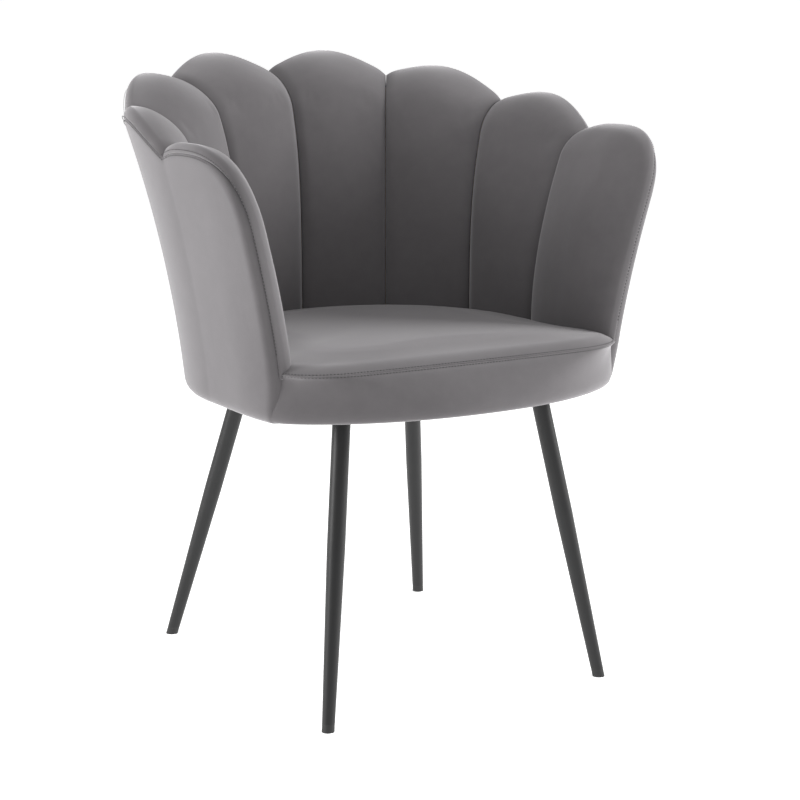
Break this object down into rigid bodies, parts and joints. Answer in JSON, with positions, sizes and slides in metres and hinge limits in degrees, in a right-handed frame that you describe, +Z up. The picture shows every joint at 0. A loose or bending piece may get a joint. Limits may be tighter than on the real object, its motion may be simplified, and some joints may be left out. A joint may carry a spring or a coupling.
{
  "type": "scallop back chair",
  "caption": "Tub chair with a channelled, scallop-edged back that runs into low rounded arms, a thick rounded seat and splayed tapered round legs.",
  "frame": {"origin": "on the floor under the middle of the chair", "axes": "+Z up, the front of the seat faces -Y, +X to the right as seen from the front"},
  "size_m": [0.635, 0.5763, 0.7801],
  "materials": {
    "velvet": "mid warm-grey velvet with a soft sheen at grazing edges",
    "foam": "matt open-cell upholstery foam",
    "plywood": "plain birch plywood",
    "dust_cover": "black non-woven sheet",
    "leg_steel": "satin black powder coat",
    "glide": "matt black plastic",
    "zinc_steel": "zinc-plated"
  },
  "bodies": {
    "root": {"back_shell": "plywood", "outer_foam": "foam", "outer_cover": "velvet", "petal_pad_left_1": "foam", "petal_cover_left_1": "velvet", "petal_pad_left_2": "foam", "petal_cover_left_2": "velvet", "petal_pad_left_3": "foam", "petal_cover_left_3": "velvet", "petal_pad_left_4": "foam", "petal_cover_left_4": "velvet", "petal_pad_right_1": "foam", "petal_cover_right_1": "velvet", "petal_pad_right_2": "foam", "petal_cover_right_2": "velvet", "petal_pad_right_3": "foam", "petal_cover_right_3": "velvet", "petal_pad_right_4": "foam", "petal_cover_right_4": "velvet", "seat_board": "plywood", "seat_foam": "foam", "seat_cover": "velvet", "front_band": "velvet", "dust_cover": "dust_cover", "leg_front_left": "leg_steel", "glide_front_left": "glide", "leg_plate_front_left": "leg_steel", "leg_front_right": "leg_steel", "glide_front_right": "glide", "leg_plate_front_right": "leg_steel", "leg_rear_left": "leg_steel", "glide_rear_left": "glide", "leg_plate_rear_left": "leg_steel", "leg_rear_right": "leg_steel", "glide_rear_right": "glide", "leg_plate_rear_right": "leg_steel", "plate_bolts": "zinc_steel", "tee_nuts": "zinc_steel", "shell_brackets": "zinc_steel", "bracket_screws": "zinc_steel", "staples": "zinc_steel"}
  },
  "joints": []
}
